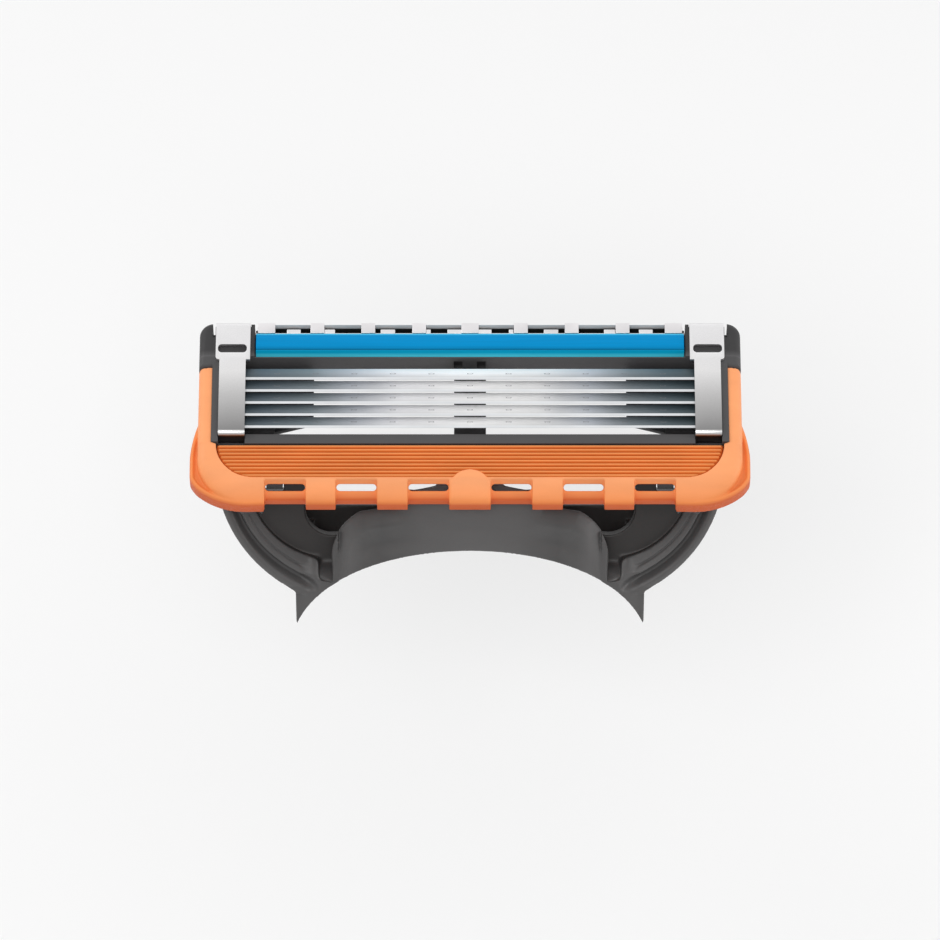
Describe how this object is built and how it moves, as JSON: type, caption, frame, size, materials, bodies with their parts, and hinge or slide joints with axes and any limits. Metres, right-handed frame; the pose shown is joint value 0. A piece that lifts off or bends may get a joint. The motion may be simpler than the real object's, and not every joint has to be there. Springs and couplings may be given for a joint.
{
  "type": "cartridge razor head",
  "caption": "Wet-shaving cartridge: sprung blade pack in a clipped frame with a soft finned guard, lubricating strip and trimmer, pivoting on a yoke with a handle socket.",
  "frame": {"origin": "middle of the handle socket's mouth", "axes": "+X along the blades, +Y from the guard to the cap, +Z out of the shaving plane"},
  "size_m": [0.042, 0.0189, 0.0167],
  "materials": {
    "housing": "satin",
    "guard": "soft satin",
    "strip": "smooth",
    "strip_band": "smooth",
    "blade_steel": "ground",
    "support_steel": "rolled",
    "clip": "satin",
    "trimmer_comb": "silver",
    "trimmer_steel": "ground",
    "member": "satin"
  },
  "bodies": {
    "connecting_member": {"connecting_member": "member"},
    "blade_unit": {"housing": "housing", "guard_elastomer": "guard", "strip_main": "strip", "strip_front_band": "strip_band", "clip_left": "clip", "clip_right": "clip", "trimmer_carrier": "trimmer_comb", "trimmer_blade": "trimmer_steel"},
    "blade_unit_blade_1": {"blade_1": "blade_steel", "blade_support_1": "support_steel"},
    "blade_unit_blade_2": {"blade_2": "blade_steel", "blade_support_2": "support_steel"},
    "blade_unit_blade_3": {"blade_3": "blade_steel", "blade_support_3": "support_steel"},
    "blade_unit_blade_4": {"blade_4": "blade_steel", "blade_support_4": "support_steel"},
    "blade_unit_blade_5": {"blade_5": "blade_steel", "blade_support_5": "support_steel"}
  },
  "joints": [
    {"name": "head_pivot", "type": "hinge", "parent": "connecting_member", "child": "blade_unit", "pos_m": [0, 0.00282, 0.00464], "axis": [1, 0, 0], "range_deg": [-44, 0], "stiffness_Nm_per_rad": 0.004},
    {"name": "blade_1_float", "type": "slide", "parent": "blade_unit", "child": "blade_unit_blade_1", "axis": [0, 0, 1], "range_m": [-0.00025, 0], "stiffness_N_per_m": 1000},
    {"name": "blade_2_float", "type": "slide", "parent": "blade_unit", "child": "blade_unit_blade_2", "axis": [0, 0, 1], "range_m": [-0.00025, 0], "stiffness_N_per_m": 1000},
    {"name": "blade_3_float", "type": "slide", "parent": "blade_unit", "child": "blade_unit_blade_3", "axis": [0, 0, 1], "range_m": [-0.00025, 0], "stiffness_N_per_m": 1000},
    {"name": "blade_4_float", "type": "slide", "parent": "blade_unit", "child": "blade_unit_blade_4", "axis": [0, 0, 1], "range_m": [-0.00025, 0], "stiffness_N_per_m": 1000},
    {"name": "blade_5_float", "type": "slide", "parent": "blade_unit", "child": "blade_unit_blade_5", "axis": [0, 0, 1], "range_m": [-0.00025, 0], "stiffness_N_per_m": 1000}
  ]
}
